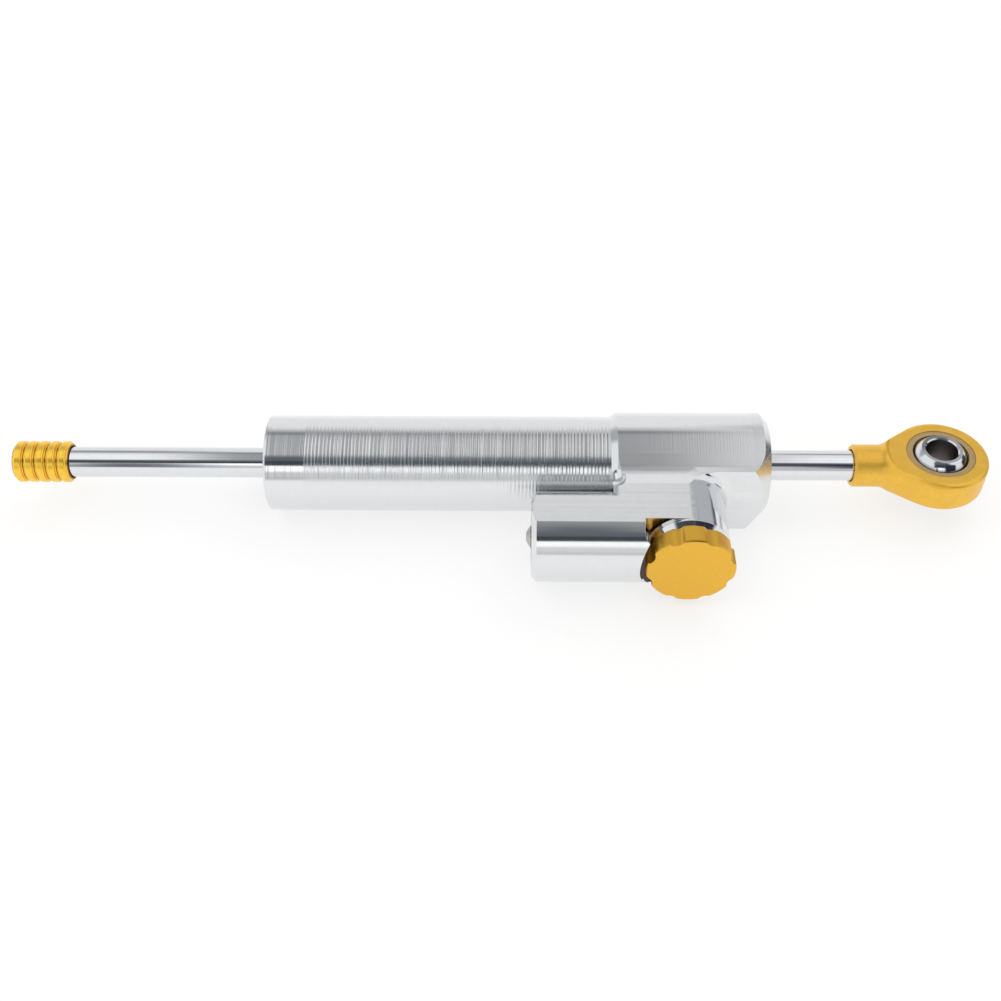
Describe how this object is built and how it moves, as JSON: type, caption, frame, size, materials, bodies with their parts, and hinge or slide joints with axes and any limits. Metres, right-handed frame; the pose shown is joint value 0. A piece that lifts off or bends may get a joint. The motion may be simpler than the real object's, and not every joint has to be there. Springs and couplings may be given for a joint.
{
  "type": "steering damper",
  "caption": "Through-rod hydraulic steering damper with a side chamber, a turning click adjuster, an end collar and a ball-jointed eye.",
  "frame": {"origin": "on the piston rod's axis, at the middle of the stretch of tube that a frame clamp holds", "axes": "+X along the rod towards the eye, -Y towards the adjuster knob, +Z along the eye's bolt axis"},
  "size_m": [0.2554, 0.0512, 0.0272],
  "materials": {
    "polished_body": "turned and polished, with fine tool marks",
    "machined_aluminium": "turned, satin",
    "rod_chrome": "hard chromed and ground",
    "gold_anodised": "satin gold anodised",
    "race_steel": "turned, warm grey",
    "ball_chrome": "mirror",
    "small_steel": "zinc plated",
    "bush_bronze": "sintered bronze",
    "seal_rubber": "moulded, matte",
    "slip_plastic": "filled slip lining"
  },
  "bodies": {
    "cylinder": {"cylinder_body": "polished_body", "pressure_sleeve": "machined_aluminium", "left_gland": "machined_aluminium", "left_gland_ring": "seal_rubber", "left_retaining_clip": "small_steel", "left_rod_bush": "bush_bronze", "left_rod_seal": "seal_rubber", "left_wiper": "seal_rubber", "right_rod_bush": "bush_bronze", "right_rod_seal": "seal_rubber", "right_wiper": "seal_rubber", "right_retaining_clip": "small_steel", "chamber_plug": "machined_aluminium", "chamber_plug_ring": "seal_rubber", "filling_screw": "small_steel", "filling_screw_washer": "bush_bronze", "reserve_spring": "small_steel", "valve_seat": "bush_bronze", "valve_gland": "small_steel", "valve_gland_ring": "seal_rubber", "spindle_ring": "seal_rubber", "click_ball": "small_steel", "click_spring": "small_steel"},
    "band": {"piston_band": "slip_plastic"},
    "rod": {"piston_rod": "rod_chrome", "piston": "machined_aluminium", "piston_energizer_ring": "seal_rubber", "piston_clips": "small_steel", "end_collar": "gold_anodised", "rod_end_housing": "gold_anodised", "rod_end_race": "race_steel"},
    "liner": {"rod_end_liner": "slip_plastic"},
    "ball": {"rod_end_ball": "ball_chrome"},
    "knob": {"adjuster_knob": "gold_anodised", "adjuster_spindle": "small_steel", "knob_grub_screw": "small_steel"},
    "needle": {"valve_needle": "bush_bronze"},
    "reserve": {"reserve_piston": "machined_aluminium", "reserve_piston_ring": "seal_rubber"}
  },
  "joints": [
    {"name": "rod_slide", "type": "slide", "parent": "cylinder", "child": "band", "axis": [1, 0, 0], "range_m": [-0.0227, 0.0525]},
    {"name": "rod_turn", "type": "hinge", "parent": "band", "child": "rod", "pos_m": [0, 0, 0], "axis": [1, 0, 0], "continuous": true},
    {"name": "ball_turn", "type": "hinge", "parent": "rod", "child": "liner", "pos_m": [0.1408, 0, 0], "axis": [0, 0, 1], "continuous": true},
    {"name": "ball_tilt", "type": "hinge", "parent": "liner", "child": "ball", "pos_m": [0.1408, 0, 0], "axis": [0, 1, 0], "range_deg": [-12, 12]},
    {"name": "knob_turn", "type": "hinge", "parent": "cylinder", "child": "knob", "pos_m": [0.0729, -0.03, 0], "axis": [0, -1, 0], "range_deg": [-270, 270]},
    {"name": "needle_slide", "type": "slide", "parent": "cylinder", "child": "needle", "axis": [0, 1, 0], "range_m": [-0.00076, 0.00076]},
    {"name": "reserve_slide", "type": "slide", "parent": "cylinder", "child": "reserve", "axis": [1, 0, 0], "range_m": [-0.0025, 0.0025], "stiffness_N_per_m": 900, "deforming": ["reserve_spring"]}
  ],
  "couplings": [
    {"joint": "needle_slide", "follows": "knob_turn", "m_per_rad": -0.00015915}
  ]
}
